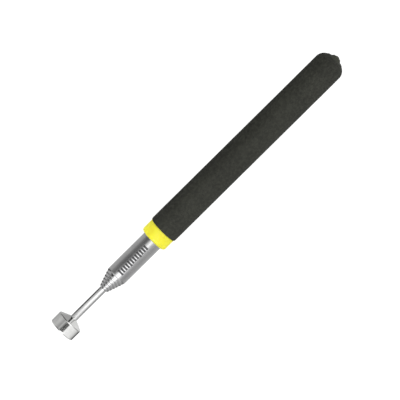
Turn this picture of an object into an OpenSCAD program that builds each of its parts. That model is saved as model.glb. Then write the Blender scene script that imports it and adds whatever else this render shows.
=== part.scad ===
// Telescoping magnetic pickup tool. It lies along the X axis with its magnet towards -X,
// and the origin is on the axis, in the middle of the grip's straight part. Millimetres.

/* [Tubes] */
// Outside diameter of the largest tube, which carries the grip
tube_od = 12.7; // [12.7:0.1:20]
// How much smaller each tube is across than the one around it
tube_step = 1.27; // [1.2:0.01:1.5]
// Wall of every telescoping tube
tube_wall = 0.4; // [0.3:0.05:0.45]
// Straight length of the largest tube in front of the collar
tube_reach = 28.4; // [15:0.1:60]
// Length over which the nose of the largest tube is rolled in
outer_nose_len = 1.9; // [1:0.1:4]
// Length over which the noses of the inner tubes are rolled in
nose_len = 1.25; // [0.8:0.05:3]
// How far each inner tube stands out of the nose around it when pushed in
nose_show = 1.88; // [1.3:0.01:4]
// Thickness left at the very tip of a rolled nose
nose_edge = 0.1; // [0.05:0.01:0.15]

/* [Friction shims] */
// Length of a pair of friction shims
shim_len = 6; // [4:0.1:12]
// Depth of the groove rolled into a tube's tail to hold its shims
groove_depth = 0.3; // [0.26:0.01:0.4]
// Length of each sloping side of that groove
groove_slope = 0.35; // [0.2:0.05:1]
// Length of the full-width lip behind the groove
tail_lip = 0.7; // [0.4:0.1:2]
// Angle of each slit between the two halves of a pair of shims
shim_slit = 9; // [4:1:30]

/* [Rod] */
// Outside diameter of the last section, which carries the magnet head
rod_od = 4.2; // [3.6:0.1:4.6]
// Wall of that section
rod_wall = 0.6; // [0.5:0.05:0.8]
// Length of rod that shows between the smallest tube and the head
rod_show = 23.7; // [2:0.1:60]
// Gap left between the head and the smallest tube when the rod is pushed in
closed_gap = 1; // [0.5:0.1:3]

/* [Magnet head] */
// Diameter of the head
head_od = 16; // [13:0.1:30]
// Length of the head's straight part
head_len = 7.35; // [6.5:0.05:15]
// Length of the head's conical back
head_cone = 2.8; // [2:0.1:8]
// Radius of the edge between the head's side and its conical back
head_edge = 0.6; // [0.2:0.1:1]
// Wall of the head's shell around its parts
shell_wall = 0.9; // [0.6:0.1:1.4]
// Diameter of the magnet
magnet_od = 11.4; // [6:0.1:11.8]
// Thickness of the magnet
magnet_len = 4.6; // [3:0.1:4.8]
// How far the magnet stands proud of the shell's rim
magnet_proud = 0.15; // [0:0.05:0.5]
// Thickness of the steel plate behind the magnet
plate_len = 1.6; // [1:0.1:1.8]
// Diameter of the head of the rivet that holds the shell on the rod
rivet_head_od = 5.4; // [4.5:0.1:6.5]
// Thickness of the rivet's head
rivet_head_len = 1; // [0.6:0.1:1.2]
// Length of the rivet's shank inside the rod
rivet_grip = 9; // [4:0.5:20]

/* [Collar] */
// Length of the collar that shows in front of the grip
collar_len = 8; // [4:0.1:20]
// How far the collar's outside lies below the grip's
collar_drop = 0.55; // [0:0.05:1]
// Radius of the collar's front corner
collar_round = 1.6; // [0.4:0.1:1.9]
// Length of the thin sleeve that reaches back under the grip
sleeve_len = 6; // [3:0.5:30]
// Wall of that sleeve
sleeve_wall = 0.9; // [0.6:0.1:1.5]

/* [Grip] */
// Length of the grip's straight part
grip_len = 130.8; // [100:0.1:180]
// Thickness of the grip around the tube
grip_wall = 2.8; // [2.7:0.1:6]
// Radius of the grip's front edge
grip_edge = 1; // [0.3:0.1:1.5]
// Radius of the round where the grip's tail turns in
grip_tail_round = 6; // [2:0.1:7]
// Slope of the grip's tail, from the tool's axis
grip_tail_angle = 62.5; // [40:0.5:70]
// Thickness of the bead around the plug's nub
bead_od = 0.9; // [0.4:0.1:1.4]

/* [Tail plug] */
// Distance from the end of the grip's straight part back to the end of the largest tube
tube_end_inset = 2.4; // [1:0.1:10]
// Length of the plug inside the tube
plug_len = 10; // [5:0.1:20]
// Depth of the grooves between the plug's press ribs
plug_rib_depth = 0.5; // [0.2:0.1:1.5]
// Thickness of the plug's flange behind the tube
plug_flange = 1.6; // [1:0.1:3]
// Diameter of the nub that comes out of the grip's tail
nub_od = 3.4; // [2.4:0.1:4]
// How far the nub stands out of the grip's tail
nub_proud = 0.75; // [0.3:0.05:2]

/* [Fits] */
// Radial clearance between the shims and the tube that they slide in
slide_gap = 0.04; // [0.02:0.01:0.08]
// Radial clearance between a rolled nose and the tube that passes through it
nose_gap = 0.05; // [0.03:0.01:0.08]
// Radial clearance between a section and the shims that it turns in
turn_gap = 0.03; // [0.02:0.01:0.06]
// Endwise play of the shims in their groove
shim_play = 0.1; // [0.05:0.05:0.3]
// Clearance between pieces that are pressed or glued together
joint_gap = 0.02; // [0.01:0.01:0.05]
// Endwise room left at the end of each section's travel
stop_gap = 0.3; // [0.2:0.05:1]

/* [Hidden] */
$fn = 96;

// Sections are numbered from the largest tube inwards, and the rod is the last
LAST_TUBE = 6;
ROD = LAST_TUBE + 1;
PLUG_RIBS = 3;

rod_r = rod_od / 2;
head_r = head_od / 2;
tube_r = tube_od / 2;
grip_r = tube_r + grip_wall;
collar_r = grip_r - collar_drop;
nub_r = nub_od / 2;

// Places along the tool, from the grip forwards
grip_front = -grip_len / 2 - grip_edge;
collar_front = grip_front - collar_len;
outer_nose = collar_front - tube_reach - outer_nose_len;
tube_end = grip_len / 2 - tube_end_inset;
plug_front = tube_end - plug_len;
last_nose = outer_nose - (LAST_TUBE - 1) * nose_show;
head_back = last_nose - rod_show;
cone_front = head_back - head_cone;
shell_front = cone_front - head_len;
magnet_front = shell_front - magnet_proud;
plate_front = magnet_front + magnet_len;
shell_floor = plate_front + plate_len;

// Outside and inside radius of section n
function section_r(n) = n == ROD ? rod_r : tube_r - (n - 1) * tube_step / 2;
function section_wall(n) = n == ROD ? rod_wall : tube_wall;
function bore_r(n) = section_r(n) - section_wall(n);

// Tip and rolled length of the nose of tube n
function nose_x(n) = outer_nose - (n - 1) * nose_show;
function rolled_len(n) = n == 1 ? outer_nose_len : nose_len;

// The groove with its two slopes and the lip behind it
groove_len = shim_len + 2 * shim_play;
tail_len = groove_slope + groove_len + groove_slope + tail_lip;

// End of section n. Each tail stops in front of the groove of the tube around it
rod_out = rod_show - closed_gap;
function pushed_in_x(n) = n == 2 ? plug_front - stop_gap : pushed_in_x(n - 1) - tail_len - stop_gap;
function tail_x(n) = n == ROD ? pushed_in_x(n) - rod_out : pushed_in_x(n);
function groove_x(n) = tail_x(n) - tail_lip - groove_slope - groove_len;

// Where the grip's tail ends, and the tip of the nub
bead_r = bead_od / 2;
tail_hole_r = nub_r + joint_gap;
grip_arc_end = [
    grip_r - grip_tail_round * (1 - cos(grip_tail_angle)),
    grip_len / 2 + grip_tail_round * sin(grip_tail_angle)
];
bead_place_r = tail_hole_r + bead_r;
grip_end = taper_x(grip_arc_end, bead_place_r, grip_tail_angle);
nub_end = grip_end + bead_r + nub_proud;

// Place where a taper that starts at point p reaches radius r
function taper_x(p, r, angle) = p[0] < r ? p[1] : p[1] + (p[0] - r) / tan(angle);

// Turns a half outline, drawn as (radius, place along the tool), about the tool's axis
module turned() {
    rotate([0, 90, 0])
        rotate_extrude()
            children();
}

// Half outline of a band of the given inside and outside radius, from x0 to x1
module band(r_in, r_out, x0, x1) {
    translate([r_in, x0])
        square([r_out - r_in, x1 - x0]);
}

// Half outline of a bar from x0 to x1 that then turns in by a round and tapers to r_end
module tapering_bar(r, x0, x1, round_r, angle, r_end) {
    arc_end = [r - round_r * (1 - cos(angle)), x1 + round_r * sin(angle)];
    end_x = taper_x(arc_end, r_end, angle);
    band(0, r, x0, x1);
    intersection() {
        band(0, r, x0, x1 + round_r);
        translate([r - round_r, x1])
            circle(round_r);
    }
    polygon([
        [0, x0], [r - round_r, x0], [r - round_r, x1], arc_end, [r_end, end_x], [0, end_x]
    ]);
}

// Half outline of a bar of radius r from x0 to x1 with its front corner rounded
module round_front_bar(r, x0, x1, round_r) {
    band(0, r - round_r, x0, x1);
    band(0, r, x0 + round_r, x1);
    translate([r - round_r, x0 + round_r])
        circle(round_r);
}

// Half outline of the space inside the dome of a rolled nose of radius r.
// The dome is an arc that leaves the straight tube smoothly and falls by drop over len
module nose_dome(r, tip, len, drop, inset) {
    arc_r = (len * len + drop * drop) / (2 * drop);
    intersection() {
        band(0, r, tip, tip + 2 * len);
        translate([r - arc_r, tip + len])
            circle(arc_r - inset);
    }
}

// Half outline of tube n from its rolled nose to the start of its tail
module nose_outline(n, tail_start) {
    r = section_r(n);
    tip = nose_x(n);
    len = rolled_len(n);
    lip_r = section_r(n + 1) + nose_gap;
    drop = r - lip_r - nose_edge;
    difference() {
        union() {
            nose_dome(r, tip, len, drop, 0);
            band(0, r, tip + len, tail_start);
        }
        nose_dome(r, tip, len, drop, tube_wall);
        band(0, lip_r, tip - 1, tip + len + 1);
        band(0, bore_r(n), tip + len, tail_start + 1);
    }
}

// Half outline of the tail of section n, with the groove that holds its shims
module tail_outline(n) {
    r = section_r(n);
    wall = section_wall(n);
    floor_r = r - groove_depth;
    end = tail_x(n);
    start = end - tail_len;
    x = [start - groove_slope, start, groove_x(n), groove_x(n) + groove_len, end - tail_lip, end];
    polygon([
        [r, x[0]], [r, x[1]], [floor_r, x[2]], [floor_r, x[3]], [r, x[4]], [r, x[5]],
        [r - wall, x[5]], [r - wall, x[4]], [floor_r - wall, x[3]], [floor_r - wall, x[2]],
        [r - wall, x[1]], [r - wall, x[0]]
    ]);
}

// Largest tube: rolled nose in front, plain end for the plug
module outer_tube() {
    color("silver")
        turned()
            nose_outline(1, tube_end);
}

// Inner tube n: rolled nose in front, grooved tail behind
module inner_tube(n) {
    color("silver")
        turned() {
            nose_outline(n, tail_x(n) - tail_len);
            tail_outline(n);
        }
}

// Last section, a thin plain tube that ends against the head's back
module rod() {
    color("gainsboro")
        turned() {
            band(bore_r(ROD), rod_r, head_back, tail_x(ROD) - tail_len);
            tail_outline(ROD);
        }
}

// Two half shells of sheet brass in the groove of section n, which rub in the tube around it
module shim_pair(n) {
    r_in = section_r(n) - groove_depth + turn_gap;
    r_out = bore_r(n - 1) - slide_gap;
    x0 = groove_x(n) + shim_play;
    slit_w = 2 * r_out * sin(shim_slit / 2);
    color("goldenrod")
        difference() {
            turned()
                band(r_in, r_out, x0, x0 + shim_len);
            translate([x0 - 1, -r_out - 1, -slit_w / 2])
                cube([shim_len + 2, 2 * r_out + 2, slit_w]);
        }
}

// Turned steel cup with a conical back, counterbored inside for the rivet
module head_shell() {
    angle = atan((head_r - rod_r) / head_cone);
    corner_x = cone_front - head_edge * tan(angle / 2);
    color("lightgray")
        turned()
            difference() {
                intersection() {
                    round_front_bar(head_r, shell_front, head_back, head_edge);
                    tapering_bar(head_r, shell_front, corner_x, head_edge, angle, rod_r);
                }
                band(0, head_r - shell_wall, shell_front - 1, shell_floor);
                band(0, rivet_head_od / 2 + joint_gap, shell_floor - 1, shell_floor + rivet_head_len);
                band(0, bore_r(ROD), shell_floor, head_back + 1);
            }
}

// Disc magnet with a small chamfer round its face
module magnet() {
    chamfer = min(0.3, magnet_od / 20);
    r = magnet_od / 2;
    back = magnet_front + magnet_len;
    color("dimgray")
        turned()
            polygon([
                [0, magnet_front], [r - chamfer, magnet_front], [r, magnet_front + chamfer], [r, back], [0, back]
            ]);
}

// Sleeve that keeps the magnet clear of the steel shell
module magnet_sleeve() {
    color("peru")
        turned()
            band(magnet_od / 2 + joint_gap, head_r - shell_wall - joint_gap, shell_front, plate_front);
}

// Steel plate that closes the magnet's back to the shell
module back_plate() {
    color("slategray")
        turned()
            band(0, head_r - shell_wall - joint_gap, plate_front, shell_floor);
}

// Rivet through the shell's back, with its shank fixed in the rod
module head_rivet() {
    shank_r = bore_r(ROD) - joint_gap;
    color("darkgray")
        turned() {
            band(0, rivet_head_od / 2, shell_floor, shell_floor + rivet_head_len);
            band(0, shank_r, shell_floor, head_back + rivet_grip);
        }
}

// Moulded ring in front of the grip, with a sleeve that the grip is pushed on
module collar() {
    color("yellow")
        turned()
            difference() {
                union() {
                    round_front_bar(collar_r, collar_front, grip_front, collar_round);
                    band(0, tube_r + sleeve_wall, grip_front, grip_front + sleeve_len);
                }
                band(0, tube_r + joint_gap, collar_front - 1, grip_front + sleeve_len + 1);
            }
}

// Foam grip, with a bead round the hole in its tail
module grip() {
    color("darkslategray")
        turned()
            difference() {
                union() {
                    intersection() {
                        round_front_bar(grip_r, grip_front, nub_end, grip_edge);
                        tapering_bar(
                            grip_r, grip_front, grip_len / 2, grip_tail_round, grip_tail_angle, bead_place_r
                        );
                    }
                    translate([bead_place_r, grip_end])
                        circle(bead_r);
                }
                band(0, tube_r + joint_gap, grip_front - 1, tube_end + plug_flange);
                band(0, tube_r + sleeve_wall + joint_gap, grip_front - 1, grip_front + sleeve_len);
                band(0, tail_hole_r, tube_end, nub_end);
            }
}

// Plug that closes the largest tube. Ribs hold it there, and its nub comes out of the grip's tail
module tail_plug() {
    rib_r = bore_r(1) - joint_gap;
    rib_pitch = plug_len / (PLUG_RIBS + 0.5);
    color("darkolivegreen")
        turned() {
            band(0, rib_r - plug_rib_depth, plug_front, tube_end);
            for (i = [0 : PLUG_RIBS]) {
                x = tube_end - i * rib_pitch;
                polygon([
                    [0, x - rib_pitch / 2], [rib_r - plug_rib_depth, x - rib_pitch / 2],
                    [rib_r, x - rib_pitch / 6], [rib_r, x], [0, x]
                ]);
            }
            band(0, tube_r, tube_end, tube_end + plug_flange);
            band(0, nub_r, tube_end + plug_flange, nub_end - nub_r / 2);
            intersection() {
                band(0, nub_r, nub_end - nub_r / 2, nub_end);
                translate([0, nub_end - 1.25 * nub_r])
                    circle(1.25 * nub_r);
            }
        }
}

outer_tube();
inner_tube(2);  // tube_2
inner_tube(3);  // tube_3
inner_tube(4);  // tube_4
inner_tube(5);  // tube_5
inner_tube(6);  // tube_6
rod();
shim_pair(2);  // shims_2
shim_pair(3);  // shims_3
shim_pair(4);  // shims_4
shim_pair(5);  // shims_5
shim_pair(6);  // shims_6
shim_pair(ROD);  // rod_shims
head_shell();
magnet();
magnet_sleeve();
back_plate();
head_rivet();
collar();
grip();
tail_plug();
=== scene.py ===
import math

import bmesh
import bpy
from mathutils import Matrix, Vector, noise


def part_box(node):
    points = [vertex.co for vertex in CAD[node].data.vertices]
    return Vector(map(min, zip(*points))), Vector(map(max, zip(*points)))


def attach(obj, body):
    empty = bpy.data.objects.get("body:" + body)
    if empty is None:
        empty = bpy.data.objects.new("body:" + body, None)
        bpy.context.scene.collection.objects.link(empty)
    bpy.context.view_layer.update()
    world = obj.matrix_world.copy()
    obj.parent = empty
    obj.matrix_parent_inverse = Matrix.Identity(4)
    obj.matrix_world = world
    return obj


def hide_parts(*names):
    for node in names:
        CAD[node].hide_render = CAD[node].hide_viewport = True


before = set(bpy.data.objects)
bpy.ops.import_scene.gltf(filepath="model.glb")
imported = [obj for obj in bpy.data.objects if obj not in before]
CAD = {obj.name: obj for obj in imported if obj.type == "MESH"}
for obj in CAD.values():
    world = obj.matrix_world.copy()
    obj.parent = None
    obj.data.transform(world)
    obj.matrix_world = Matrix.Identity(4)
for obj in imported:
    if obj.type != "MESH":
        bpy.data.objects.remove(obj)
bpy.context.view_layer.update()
MM = 0.001               # metres in a millimetre; the frame is in metres

# ---------------------------------------------------------------- places, from the frame

GRIP_LOW, GRIP_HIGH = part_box("grip")
COLLAR_LOW, COLLAR_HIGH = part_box("collar")
TUBE_LOW, TUBE_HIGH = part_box("outer_tube")
PLUG_LOW, PLUG_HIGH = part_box("tail_plug")
HEAD_LOW, HEAD_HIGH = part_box("head_shell")
LAST_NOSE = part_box("tube_6")[0].x

GRIP_RADIUS = GRIP_HIGH.z
TUBE_RADIUS = TUBE_HIGH.z
FLOOR = GRIP_LOW.z

# What the boxes don't tell: the plug's length in the tube, its flange behind the tube, and its nub.
PLUG_LENGTH = 10 * MM
PLUG_FLANGE = 1.6 * MM
NUB_RADIUS = 1.7 * MM


# ---------------------------------------------------------------- materials in plain arithmetic

class Value:
    """A socket of a material's nodes. Arithmetic on it adds Math nodes."""

    def __init__(self, finish, socket):
        self.finish = finish
        self.socket = socket

    def maths(self, operation, *terms):
        return self.finish.node("Math", {"operation": operation}, dict(enumerate(terms)))

    def __add__(self, other):
        return self.maths("ADD", self, other)

    def __sub__(self, other):
        return self.maths("SUBTRACT", self, other)

    def __rsub__(self, other):
        return self.maths("SUBTRACT", other, self)

    def __mul__(self, other):
        return self.maths("MULTIPLY", self, other)

    def __truediv__(self, other):
        return self.maths("DIVIDE", self, other)

    def __rtruediv__(self, other):
        return self.maths("DIVIDE", other, self)

    def __mod__(self, other):
        return self.maths("FLOORED_MODULO", self, other)

    def __gt__(self, other):
        return self.maths("GREATER_THAN", self, other)

    def __lt__(self, other):
        return self.maths("LESS_THAN", self, other)

    def __abs__(self):
        return self.maths("ABSOLUTE", self)

    __radd__ = __add__
    __rmul__ = __mul__

    def ramp(self, low, high):
        """0 below low and 1 above high, with a smooth rise between. low may be the larger one."""
        settings = {"interpolation_type": "SMOOTHSTEP"}
        inputs = {"Value": self, "From Min": low, "From Max": high}
        return self.finish.node("MapRange", settings, inputs)


class Finish:
    """A material, and the methods that its nodes are made with."""

    def __init__(self, name):
        self.material = bpy.data.materials.new(name)
        self.material.use_nodes = True
        self.tree = self.material.node_tree
        self.shader = next(n for n in self.tree.nodes if n.type == "BSDF_PRINCIPLED")

    def node(self, kind, settings=None, inputs=None, output=0):
        """Any node: its settings first, then the values or links of its sockets."""
        made = self.tree.nodes.new("ShaderNode" + kind)
        for name, value in (settings or {}).items():
            setattr(made, name, value)
        for key, value in (inputs or {}).items():
            if isinstance(value, Value):
                self.tree.links.new(value.socket, made.inputs[key])
            else:
                made.inputs[key].default_value = value
        return Value(self, made.outputs[output])

    def place(self):
        """Where the point is on the piece, in metres."""
        return self.node("TexCoord", output="Object")

    def axis(self, name):
        """The point's place along one axis: X, Y or Z."""
        return self.node("SeparateXYZ", inputs={0: self.place()}, output=name)

    def noise(self, vector, scale, detail=2.0, roughness=0.5):
        """Soft random values from about 0.3 to 0.7."""
        inputs = {"Vector": vector, "Scale": scale, "Detail": detail, "Roughness": roughness}
        return self.node("TexNoise", inputs=inputs)

    def streaks(self, x, y, z, detail=3.0):
        """Noise with its own number of features per metre along each axis."""
        drawn_out = self.node("VectorMath", {"operation": "MULTIPLY"}, {0: self.place(), 1: (x, y, z)})
        return self.noise(drawn_out, 1.0, detail)

    def cells(self, vector, scale):
        """Distance to the nearest of many scattered points."""
        return self.node("TexVoronoi", inputs={"Vector": vector, "Scale": scale})

    def blended(self, factor, low, high):
        """The colour low where factor is 0, and high where it is 1."""
        inputs = {"Factor": factor, 6: colour(low), 7: colour(high)}
        return self.node("Mix", {"data_type": "RGBA"}, inputs, output=2)

    def bump(self, height, distance, strength):
        """A normal from a height of 0 to 1 that stands for that distance in metres."""
        return self.node("Bump", inputs={"Height": height, "Distance": distance, "Strength": strength})

    def done(self, **sockets):
        """Sets the shader's sockets, given with spaces as underscores, and returns the material."""
        for name, value in sockets.items():
            socket = self.shader.inputs[name.replace("_", " ")]
            if isinstance(value, Value):
                self.tree.links.new(value.socket, socket)
            else:
                socket.default_value = value
        return self.material


def colour(value):
    """A colour as four numbers; a Value passes through."""
    return value if isinstance(value, Value) else (*value, 1.0)


# ---------------------------------------------------------------- the finishes

def satin_tube_steel():
    """Drawn and polished stainless tube: fine rings round it, faint rub marks along it."""
    finish = Finish("satin_tube_steel")
    rings = finish.streaks(9000, 150, 150)
    rubs = finish.streaks(60, 2500, 2500, detail=4)
    smudges = finish.noise(finish.place(), 140, detail=3)
    marks = etched_marks(finish)
    rough = 0.12 + 0.08 * smudges + 0.06 * rings + 0.3 * marks
    polish = finish.blended(smudges.ramp(0.35, 0.7), (0.47, 0.47, 0.475), (0.53, 0.53, 0.53))
    tint = finish.blended(marks, polish, (0.1, 0.1, 0.103))
    relief = rings * 0.5 + rubs * 0.4 - marks * 1.5
    return finish.done(
        Base_Color=tint, Metallic=1.0, Roughness=rough,
        Normal=finish.bump(relief, 0.002 * MM, 0.6),
    )


def etched_marks(finish):
    """Mask of a row of etched strokes along the top of the tube, as on a reach scale."""
    start, pitch, count = TUBE_LOW.x + 4.1 * MM, 1.83 * MM, 12
    middle, width, soft = -0.3 * MM, 1.3 * MM, 0.08 * MM
    long_reach, short_reach = 2.0 * MM, 1.65 * MM
    along = finish.axis("X") - start
    across = abs(finish.axis("Y") - middle)
    in_pitch = along % pitch
    number = (along - in_pitch) / pitch
    long_stroke = (number % 4) < 0.5
    stroke = abs(in_pitch - pitch / 2).ramp(width / 2, width / 2 - soft)
    short_part = across.ramp(short_reach, short_reach - soft) * (1 - long_stroke)
    long_part = across.ramp(long_reach, long_reach - soft) * long_stroke
    in_row = (along > 0) * (along < pitch * count) * (finish.axis("Z") > 0)
    return stroke * (short_part + long_part) * in_row


def polished_rod_steel():
    """Bright rod: close polish, with fine scratches along it from the noses."""
    finish = Finish("polished_rod_steel")
    vector = finish.place()
    scratches = finish.streaks(40, 6000, 6000, detail=4)
    film = finish.noise(vector, 220, detail=3)
    tint = finish.blended(film.ramp(0.3, 0.7), (0.68, 0.68, 0.68), (0.76, 0.76, 0.755))
    return finish.done(
        Base_Color=tint, Metallic=1.0, Roughness=0.1 + 0.1 * film + 0.06 * scratches,
        Normal=finish.bump(scratches, 0.0015 * MM, 0.5),
    )


def bright_head_chrome():
    """Plated head: mirror finish with a soft haze, small pits and turning marks under the plating."""
    finish = Finish("bright_head_chrome")
    vector = finish.place()
    haze = finish.noise(vector, 260, detail=4)
    turning = finish.streaks(5000, 90, 90, detail=2)
    pits = finish.cells(vector, 900).ramp(0.12, 0.05)
    tint = finish.blended(haze.ramp(0.35, 0.65), (0.74, 0.745, 0.73), (0.82, 0.82, 0.81))
    return finish.done(
        Base_Color=tint, Metallic=1.0, Roughness=0.05 + 0.07 * haze + 0.15 * pits,
        Normal=finish.bump(turning * 0.6 + haze * 0.4 - pits * 0.6, 0.0015 * MM, 0.6),
    )


def ground_magnet():
    """Nickel-plated sintered magnet: ground in straight lines, nicked and scuffed by what it lifts."""
    finish = Finish("ground_magnet")
    vector = finish.place()
    grinding = finish.streaks(200, 7000, 120)
    scuffs = finish.noise(vector, 380, detail=6, roughness=0.65)
    nicks = finish.cells(vector, 520).ramp(0.13, 0.05)
    streaks = (grinding * 0.6 + scuffs * 0.4).ramp(0.36, 0.64)
    tint = finish.blended(streaks, (0.37, 0.37, 0.375), (0.47, 0.47, 0.47))
    return finish.done(
        Base_Color=tint, Metallic=1.0, Roughness=0.26 + 0.16 * scuffs + 0.2 * nicks,
        Normal=finish.bump(grinding * 0.7 + scuffs * 0.2 - nicks * 0.8, 0.006 * MM, 0.6),
    )


def turned_steel(name, dark, light):
    """Plain turned steel: rings from the tool, and a little dulling."""
    finish = Finish(name)
    vector = finish.place()
    rings = finish.streaks(6000, 120, 120)
    dulling = finish.noise(vector, 300, detail=4)
    return finish.done(
        Base_Color=finish.blended(dulling.ramp(0.35, 0.65), dark, light), Metallic=1.0,
        Roughness=0.28 + 0.2 * dulling + 0.1 * rings,
        Normal=finish.bump(rings, 0.004 * MM, 0.6),
    )


def rolled_brass():
    """Sheet brass with rolling lines along the tool, darkened where it doesn't rub."""
    finish = Finish("rolled_brass")
    vector = finish.place()
    rolling = finish.streaks(80, 5000, 5000)
    tarnish = finish.noise(vector, 420, detail=5)
    return finish.done(
        Base_Color=finish.blended(tarnish.ramp(0.35, 0.65), (0.6, 0.4, 0.16), (0.78, 0.58, 0.27)),
        Metallic=1.0, Roughness=0.22 + 0.25 * tarnish,
        Normal=finish.bump(rolling, 0.003 * MM, 0.6),
    )


def dull_sleeve_plastic():
    """The moulded sleeve round the magnet: nearly black, with a fine grain."""
    finish = Finish("dull_sleeve_plastic")
    vector = finish.place()
    grain = finish.noise(vector, 2600, detail=3)
    cloud = finish.noise(vector, 240, detail=2)
    return finish.done(
        Base_Color=finish.blended(cloud.ramp(0.35, 0.65), (0.02, 0.02, 0.021), (0.04, 0.04, 0.041)),
        Roughness=0.5 + 0.2 * grain, Normal=finish.bump(grain, 0.01 * MM, 0.5),
    )


def lemon_collar_plastic():
    """Moulded collar: bright lemon, a soft shine, a faint flow pattern and rubbed corners."""
    finish = Finish("lemon_collar_plastic")
    vector = finish.place()
    x = finish.axis("X")
    flow = finish.streaks(120, 260, 260)
    grain = finish.noise(vector, 3200, detail=2)
    peel = finish.noise(vector, 650, detail=2)
    body = finish.blended(flow.ramp(0.35, 0.65), (0.87, 0.75, 0.027), (0.92, 0.84, 0.034))
    corner = x.ramp(COLLAR_LOW.x + 1.6 * MM, COLLAR_LOW.x + 0.2 * MM)
    dust = finish.noise(vector, 1500, detail=4).ramp(0.56, 0.68) * (0.25 + 0.5 * corner)
    tint = finish.blended(dust * 0.35, body, (0.55, 0.53, 0.12))
    return finish.done(
        Base_Color=tint, Roughness=0.34 + 0.16 * peel + 0.2 * dust,
        Subsurface_Weight=0.6, Subsurface_Radius=(1.0, 0.9, 0.3), Subsurface_Scale=4 * MM,
        Normal=finish.bump(peel * 0.7 + grain * 0.3, 0.008 * MM, 0.5),
    )


def fine_grip_foam():
    """Foam with a matt skin: fine closed cells, rubbed paler where the hand grips it."""
    finish = Finish("fine_grip_foam")
    vector = finish.place()
    x = finish.axis("X")
    cells = finish.cells(vector, 2600)
    pits = finish.noise(vector, 1900, detail=3, roughness=0.6).ramp(0.47, 0.35)
    grain = finish.noise(vector, 5200, detail=3)
    mottle = finish.noise(vector, 620, detail=5, roughness=0.65)
    cloud = finish.noise(vector, 60, detail=3)
    bead = x.ramp(GRIP_HIGH.x - 2.2 * MM, GRIP_HIGH.x - 0.7 * MM)
    front = x.ramp(GRIP_LOW.x + 1.2 * MM, GRIP_LOW.x + 0.2 * MM)
    wear = mottle.ramp(0.36, 0.66) * 0.75 + cloud.ramp(0.4, 0.7) * 0.25
    skin = finish.blended(wear, (0.014, 0.0147, 0.0104), (0.031, 0.0323, 0.0238))
    pitted = finish.blended(pits * 0.75, skin, (0.006, 0.0063, 0.005))
    tint = finish.blended(bead * 0.7 + front * 0.4, pitted, (0.042, 0.044, 0.03))
    height = cells.ramp(0.05, 0.5) * 0.35 - pits * 0.5 + grain * 0.2 + mottle * 0.3
    return finish.done(
        Base_Color=tint, Roughness=0.66 + 0.2 * grain, Specular_IOR_Level=0.45,
        Normal=finish.bump(height, 0.12 * MM, 0.7),
    )


def olive_plug_plastic():
    """The plug: dark olive moulded plastic with paler scuffs, and a painted highlight that makes its
    nub paler still.
    """
    finish = Finish("olive_plug_plastic")
    vector = finish.place()
    x = finish.axis("X")
    grain = finish.noise(vector, 2400, detail=3)
    scuffs = finish.noise(vector, 900, detail=5).ramp(0.5, 0.66)
    # Painted highlight: the scuffs are made paler towards the end of the nub, standing in for light on
    # its dome.
    painted_nub_highlight = x.ramp(PLUG_HIGH.x - 1.4 * MM, PLUG_HIGH.x - 0.2 * MM)
    scuffs_and_nub_highlight = scuffs * (0.3 + 0.7 * painted_nub_highlight)
    tint = finish.blended(scuffs_and_nub_highlight, (0.045, 0.046, 0.034), (0.1, 0.1, 0.07))
    return finish.done(
        Base_Color=tint, Roughness=0.5 + 0.2 * grain,
        Normal=finish.bump(grain + scuffs * 0.5, 0.012 * MM, 0.5),
    )


def paint(material, *nodes):
    """Gives CAD nodes that material in place of their plain one."""
    for name in nodes:
        slots = CAD[name].data.materials
        slots.clear()
        slots.append(material)


# ---------------------------------------------------------------- pieces made here

def turned_mesh(name, outline, segments):
    """A closed ring of quads: the outline's (place along the tool, radius) points turned about X."""
    verts = []
    for step in range(segments):
        angle = 2 * math.pi * step / segments
        verts += [(x, -r * math.sin(angle), r * math.cos(angle)) for x, r in outline]
    count = len(outline)
    faces = []
    for step in range(segments):
        near, far = step * count, (step + 1) % segments * count
        for i in range(count):
            j = (i + 1) % count
            faces.append((near + i, near + j, far + j, far + i))
    mesh = bpy.data.meshes.new(name)
    mesh.from_pydata(verts, [], faces)
    piece = bpy.data.objects.new(name, mesh)
    bpy.context.scene.collection.objects.link(piece)
    bm = bmesh.new()
    bm.from_mesh(mesh)
    bmesh.ops.recalc_face_normals(bm, faces=bm.faces)
    bm.to_mesh(mesh)
    bm.free()
    mesh.shade_smooth()
    return piece


def arc(centre, radius, start, end, steps):
    """Points on an arc in the (along, radius) plane. Angles are in degrees from the axis."""
    points = []
    for step in range(steps + 1):
        angle = math.radians(start + (end - start) * step / steps)
        points.append((centre[0] + radius * math.cos(angle), centre[1] + radius * math.sin(angle)))
    return points


def filled(points, spacing):
    """The same line with points added, so that none are further apart than spacing."""
    out = []
    for (x0, r0), (x1, r1) in zip(points, points[1:]):
        steps = max(1, math.ceil(math.hypot(x1 - x0, r1 - r0) / spacing))
        out += [(x0 + (x1 - x0) * i / steps, r0 + (r1 - r0) * i / steps) for i in range(steps)]
    return out + [points[-1]]


def swelled(start, end, wave, sink):
    """Points between two others: full just after start, hollow just before end, by about wave."""
    dx, dr = end[0] - start[0], end[1] - start[1]
    length = math.hypot(dx, dr)
    points = []
    for step in range(1, 12):
        t = step / 12
        out = wave * math.sin(2 * math.pi * t) - sink * math.sin(math.pi * t)
        points.append((start[0] + dx * t - dr / length * out, start[1] + dr * t + dx / length * out))
    return points


def make_uneven(piece, inside, plug_end, lip_radius):
    """Moves the skin in and out by hundredths of a millimetre, less towards the lip round the nub."""
    long_lumps, short_lumps, sink, fade = 0.03 * MM, 0.015 * MM, 0.03 * MM, 2 * MM
    long_scale, short_scale = 160, 700
    for v in piece.data.vertices:
        out = Vector((0, v.co.y, v.co.z))
        if out.length > inside or v.co.x > plug_end:
            lump = noise.noise(v.co * long_scale) * long_lumps
            lump += noise.noise(v.co * short_scale) * short_lumps
            share = min(1, max(0, (out.length - lip_radius) / fade))
            v.co += out.normalized() * (lump - sink) * share


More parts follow.
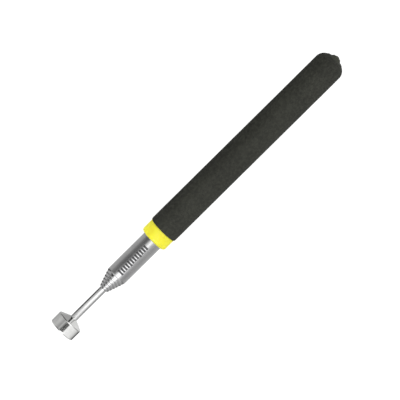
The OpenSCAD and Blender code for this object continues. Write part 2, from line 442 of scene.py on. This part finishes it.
def foam_grip():
    """The grip as real foam: slightly uneven, rounded in front, with a full dome round the nub."""
    edge, tail_round, tail_angle, bead = 1.0 * MM, 6.0 * MM, 62.5, 0.45 * MM
    gap, collar_sleeve = 0.02 * MM, 0.9 * MM
    skin_spacing, bore_spacing, segments = 0.7 * MM, 3 * MM, 160
    front, back, radius = GRIP_LOW.x, GRIP_HIGH.x, GRIP_RADIUS
    hole = NUB_RADIUS + gap
    bead_centre = (back - bead, hole + bead)
    slope = math.radians(tail_angle)
    drop = radius - tail_round * (1 - math.cos(slope)) - bead_centre[1]
    arc_end_x = bead_centre[0] - drop / math.tan(slope)
    arc_centre = (arc_end_x - tail_round * math.sin(slope), radius - tail_round)
    bore = TUBE_RADIUS + gap
    sleeve_end = COLLAR_HIGH.x
    sleeve_bore = bore + collar_sleeve
    plug_end = PLUG_LOW.x + PLUG_LENGTH + PLUG_FLANGE
    outer = arc((front + edge, radius - edge), edge, 180, 90, 8)
    outer += arc(arc_centre, tail_round, 90, 90 - tail_angle, 16)
    lip = arc(bead_centre, bead, 80, -90, 10)
    outer += swelled(outer[-1], lip[0], 0.2 * MM, 0.05 * MM) + lip
    inner = [(plug_end, hole), (plug_end, bore), (sleeve_end, bore), (sleeve_end, sleeve_bore)]
    inner += [(front, sleeve_bore)]
    outline = filled(outer, skin_spacing) + filled(inner, bore_spacing)
    piece = turned_mesh("grip_foam_sleeve", outline, segments)
    make_uneven(piece, bore + 1.5 * MM, plug_end, hole + 2 * bead)
    piece.data.materials.append(fine_grip_foam())
    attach(piece, "handle")
    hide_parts("grip")
    return piece


# ---------------------------------------------------------------- floor, light and camera

CAMERA_TILT = math.radians(7.25)
CAMERA_ROLL = math.radians(44.66)
TENT_RADIUS = 120 * MM


def floor():
    """A plain pale floor under the grip: a white sheet that also glows, as on a light table."""
    finish = Finish("pale_floor")
    tone = finish.noise(finish.place(), 30, detail=2)
    glow = finish.blended(tone, (0.98, 0.98, 0.98), (1.0, 1.0, 1.0))
    finish.done(
        Base_Color=(0.25, 0.25, 0.25, 1), Roughness=0.9, Specular_IOR_Level=0.0,
        Emission_Color=glow, Emission_Strength=0.97,
    )
    half = 12.0
    mesh = bpy.data.meshes.new("floor")
    corners = [(-half, -half, FLOOR), (half, -half, FLOOR), (half, half, FLOOR), (-half, half, FLOOR)]
    mesh.from_pydata(corners, [], [(0, 1, 2, 3)])
    mesh.materials.append(finish.material)
    plane = bpy.data.objects.new("floor", mesh)
    bpy.context.scene.collection.objects.link(plane)
    plane.visible_glossy = False


def tent(name, along, stops):
    """A round tent about the tool's axis that only reflections show.

    along is its extent in X. stops are (angle, brightness) pairs: the angle is in degrees from
    straight up towards -Y, and the brightness changes smoothly from each stop to the next."""
    steps = 96
    verts, faces = [], []
    for step in range(steps + 1):
        angle = math.radians(-180 + 360 * step / steps)
        for x in along:
            verts.append((x, -TENT_RADIUS * math.sin(angle), TENT_RADIUS * math.cos(angle)))
    for step in range(steps):
        a = 2 * step
        faces.append((a, a + 1, a + 3, a + 2))
    mesh = bpy.data.meshes.new(name)
    mesh.from_pydata(verts, [], faces)
    cloth = bpy.data.objects.new(name, mesh)
    bpy.context.scene.collection.objects.link(cloth)
    finish = Finish(name)
    toward = finish.axis("Y") * -1
    angle = toward.maths("ARCTAN2", toward, finish.axis("Z"))
    brightest = max(level for _, level in stops)
    shade = stops[0][1] / brightest
    for (start, low), (end, high) in zip(stops, stops[1:]):
        if high != low:
            change = angle.ramp(math.radians(start), math.radians(end))
            shade = shade + change * ((high - low) / brightest)
    finish.done(
        Base_Color=(0, 0, 0, 1), Roughness=1.0, Specular_IOR_Level=0.0,
        Emission_Color=shade, Emission_Strength=brightest,
    )
    mesh.materials.append(finish.material)
    cloth.visible_camera = False
    cloth.visible_diffuse = False
    cloth.visible_shadow = False
    cloth.visible_transmission = False


# Brightness of each tent by angle: the dark and light bands that polished steel shows along its length.
TUBE_FAR_SIDE = [
    (-176, 0.42), (-150, 0.66), (-115, 0.64), (-88, 0.58), (-66, 0.3), (-44, 0.2), (-26, 0.32),
]
TUBE_NEAR_SIDE = [(75, 0.52), (110, 0.62), (150, 0.68), (172, 0.85)]
TUBE_BACK_TOP = [(-8, 1.15), (7, 1.95), (16, 2.0), (31, 1.0), (50, 0.64)]
TUBE_FRONT_TOP = [(-8, 1.6), (6, 2.9), (20, 3.1), (37, 1.4), (54, 0.64)]
TUBE_BACK_STOPS = TUBE_FAR_SIDE + TUBE_BACK_TOP + TUBE_NEAR_SIDE
TUBE_FRONT_STOPS = TUBE_FAR_SIDE + TUBE_FRONT_TOP + TUBE_NEAR_SIDE
GRIP_STOPS = [
    (-176, 0.42), (-150, 0.42), (-130, 0.06), (-27, 0.03), (-2, 1.15), (44, 1.2), (80, 0.7),
    (140, 0.3), (158, 0.85), (176, 0.85),
]
ROD_STOPS = [
    (-150, 0.03), (-96, 0.05), (-62, 0.58), (-24, 1.18), (0, 1.48), (34, 1.3), (66, 0.7),
    (96, 0.34), (150, 0.34),
]
HEAD_STOPS = [
    (-160, 0.42), (-100, 0.53), (-70, 0.62), (-36, 0.37), (-26, 0.54), (-17, 0.36), (-10, 0.08),
    (10, 0.075), (15, 0.28), (22, 1.02), (60, 1.02), (90, 0.94), (116, 0.6), (134, 0.18),
    (152, 0.06),
]
NEAR_NOSE_STOPS = [
    (-110, 0.75), (-80, 0.7), (-56, 0.12), (-23, 0.05), (-9, 2.0), (3, 3.6), (22, 3.6), (42, 0.7),
    (110, 0.66),
]
FAR_NOSE_STOPS = [(-110, 0.5), (-60, 0.3), (-24, 0.3), (0, 0.9), (50, 0.45), (110, 0.45)]


def studio():
    """Soft light all round, a broad soft key from above, and the tents that shape the reflections."""
    scene = bpy.context.scene
    scene.view_settings.view_transform = "Standard"
    world = bpy.data.worlds.new("studio")
    scene.world = world
    world.use_nodes = True
    background = next(n for n in world.node_tree.nodes if n.type == "BACKGROUND")
    room_level, key_level, key_spread = 0.58, 1.75, 100
    background.inputs["Color"].default_value = (1, 1, 1, 1)
    background.inputs["Strength"].default_value = room_level
    key = bpy.data.lights.new("key", "SUN")
    key.energy = key_level
    key.angle = math.radians(key_spread)
    lamp = bpy.data.objects.new("key", key)
    scene.collection.objects.link(lamp)
    lamp.rotation_euler = Vector((0.1, -0.03, 1)).to_track_quat("Z", "Y").to_euler()
    lamp.visible_glossy = False
    put_up_tents()


def put_up_tents():
    """One tent after another along the tool, each over the piece that reflects it to the camera."""
    lean = TENT_RADIUS * math.tan(CAMERA_TILT)
    front_end, nose_split, back_end = -0.8, -0.3, 0.3
    head_start = HEAD_LOW.x - lean - 4 * MM
    rod_start = HEAD_HIGH.x - lean
    tube_start = LAST_NOSE - lean
    tube_split = TUBE_LOW.x - lean + 8 * MM
    grip_start = GRIP_LOW.x - lean
    tent("grip_tent", (grip_start, back_end), GRIP_STOPS)
    tent("tube_front_tent", (tube_start, tube_split), TUBE_FRONT_STOPS)
    tent("tube_back_tent", (tube_split, grip_start), TUBE_BACK_STOPS)
    tent("rod_tent", (rod_start, tube_start), ROD_STOPS)
    tent("head_tent", (head_start, rod_start), HEAD_STOPS)
    tent("near_nose_tent", (nose_split, head_start), NEAR_NOSE_STOPS)
    tent("far_nose_tent", (front_end, nose_split), FAR_NOSE_STOPS)


def camera():
    """A long lens above the tool, a little behind it, with the tool running up to the right."""
    target = Vector((-39.29, -2.68, 0)) * MM
    width, lens, sensor, far_clip = 226 * MM, 1200, 36, 100
    along = Vector((math.cos(CAMERA_TILT), 0, -math.sin(CAMERA_TILT)))
    back = Vector((math.sin(CAMERA_TILT), 0, math.cos(CAMERA_TILT)))
    across = Vector((0, 1, 0))
    right = along * math.cos(CAMERA_ROLL) - across * math.sin(CAMERA_ROLL)
    up = along * math.sin(CAMERA_ROLL) + across * math.cos(CAMERA_ROLL)
    data = bpy.data.cameras.new("camera")
    data.lens = lens
    data.sensor_width = sensor
    data.clip_end = far_clip
    made = bpy.data.objects.new("camera", data)
    bpy.context.scene.collection.objects.link(made)
    turn = Matrix((right, up, back)).transposed().to_4x4()
    distance = width * lens / sensor
    made.matrix_world = Matrix.Translation(target + back * distance) @ turn
    bpy.context.scene.camera = made


# ---------------------------------------------------------------- the tool

camera()
studio()
floor()

INNER_SECTIONS = range(2, 7)
INNER_TUBES = [f"tube_{n}" for n in INNER_SECTIONS]
SHIMS = [f"shims_{n}" for n in INNER_SECTIONS] + ["rod_shims"]
paint(satin_tube_steel(), "outer_tube", *INNER_TUBES)
paint(polished_rod_steel(), "rod")
paint(rolled_brass(), *SHIMS)
paint(bright_head_chrome(), "head_shell")
paint(ground_magnet(), "magnet")
paint(dull_sleeve_plastic(), "magnet_sleeve")
paint(turned_steel("plain_plate_steel", (0.36, 0.36, 0.37), (0.48, 0.48, 0.49)), "back_plate")
paint(turned_steel("plain_rivet_steel", (0.42, 0.42, 0.42), (0.55, 0.55, 0.56)), "head_rivet")
paint(lemon_collar_plastic(), "collar")
paint(olive_plug_plastic(), "tail_plug")
foam_grip()
